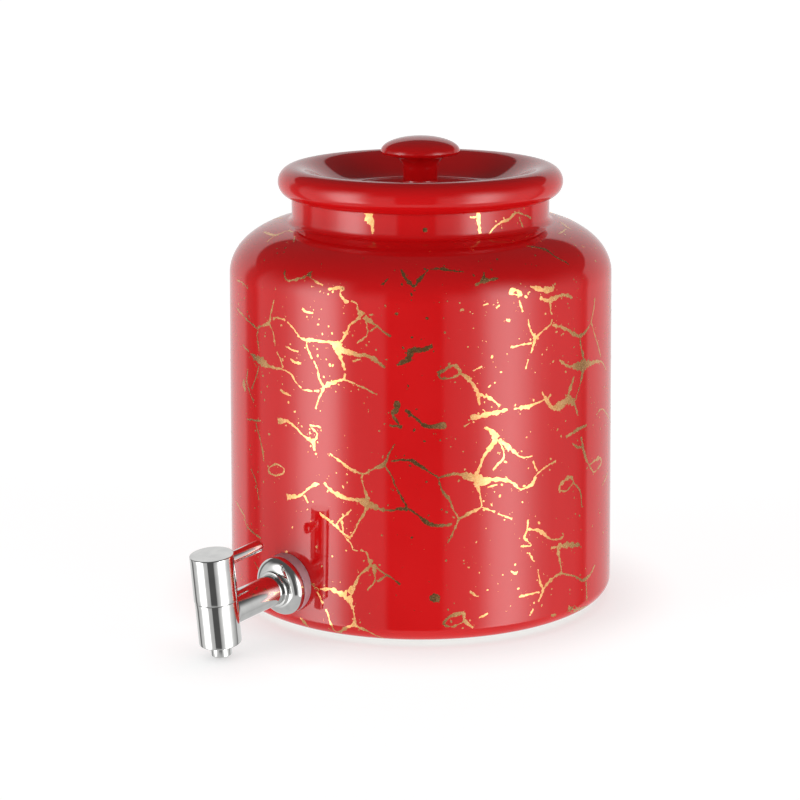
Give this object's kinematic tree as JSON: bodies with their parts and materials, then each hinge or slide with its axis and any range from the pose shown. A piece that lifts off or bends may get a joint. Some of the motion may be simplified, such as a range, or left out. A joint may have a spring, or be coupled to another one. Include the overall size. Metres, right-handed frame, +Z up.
{
  "type": "juice dispenser",
  "caption": "Round glazed jar with a short neck, a dished lift-off lid with a mushroom knob, and a steel lever tap low on its side.",
  "frame": {"origin": "centre of the jar's foot, on the surface that it stands on", "axes": "+Z up along the jar's axis; -Y out along the tap's arm; +X to the right as seen from the tap's side"},
  "size_m": [0.241, 0.3164, 0.2902],
  "materials": {
    "glaze": "gloss",
    "polished_steel": "mirror polished",
    "plain_steel": "machined",
    "silicone": "matt translucent",
    "black_rubber": "matt",
    "brass": "machined",
    "alumina": "lapped"
  },
  "bodies": {
    "root": {"jar": "glaze", "tap_body": "polished_steel", "escutcheon": "polished_steel", "outer_gasket": "silicone", "inner_gasket": "silicone", "backing_washer": "plain_steel", "lock_nut": "plain_steel", "outlet_nozzle": "polished_steel", "valve_housing": "brass", "housing_seal": "black_rubber", "seat_seal": "silicone", "fixed_disc": "alumina"},
    "lid": {"lid": "glaze"},
    "handle": {"handle_cap": "polished_steel", "lever": "polished_steel", "spindle": "brass", "moving_disc": "alumina", "spindle_seal_lower": "black_rubber", "spindle_seal_upper": "black_rubber", "retaining_clip": "plain_steel"}
  },
  "joints": [
    {"name": "lid_lift", "type": "slide", "parent": "root", "child": "lid", "axis": [0, 0, 1], "range_m": [0, 0.06]},
    {"name": "handle_turn", "type": "hinge", "parent": "root", "child": "handle", "pos_m": [0, -0.17906, 0.02632], "axis": [0, -0.1045, 0.9945], "range_deg": [-90, 0]}
  ]
}
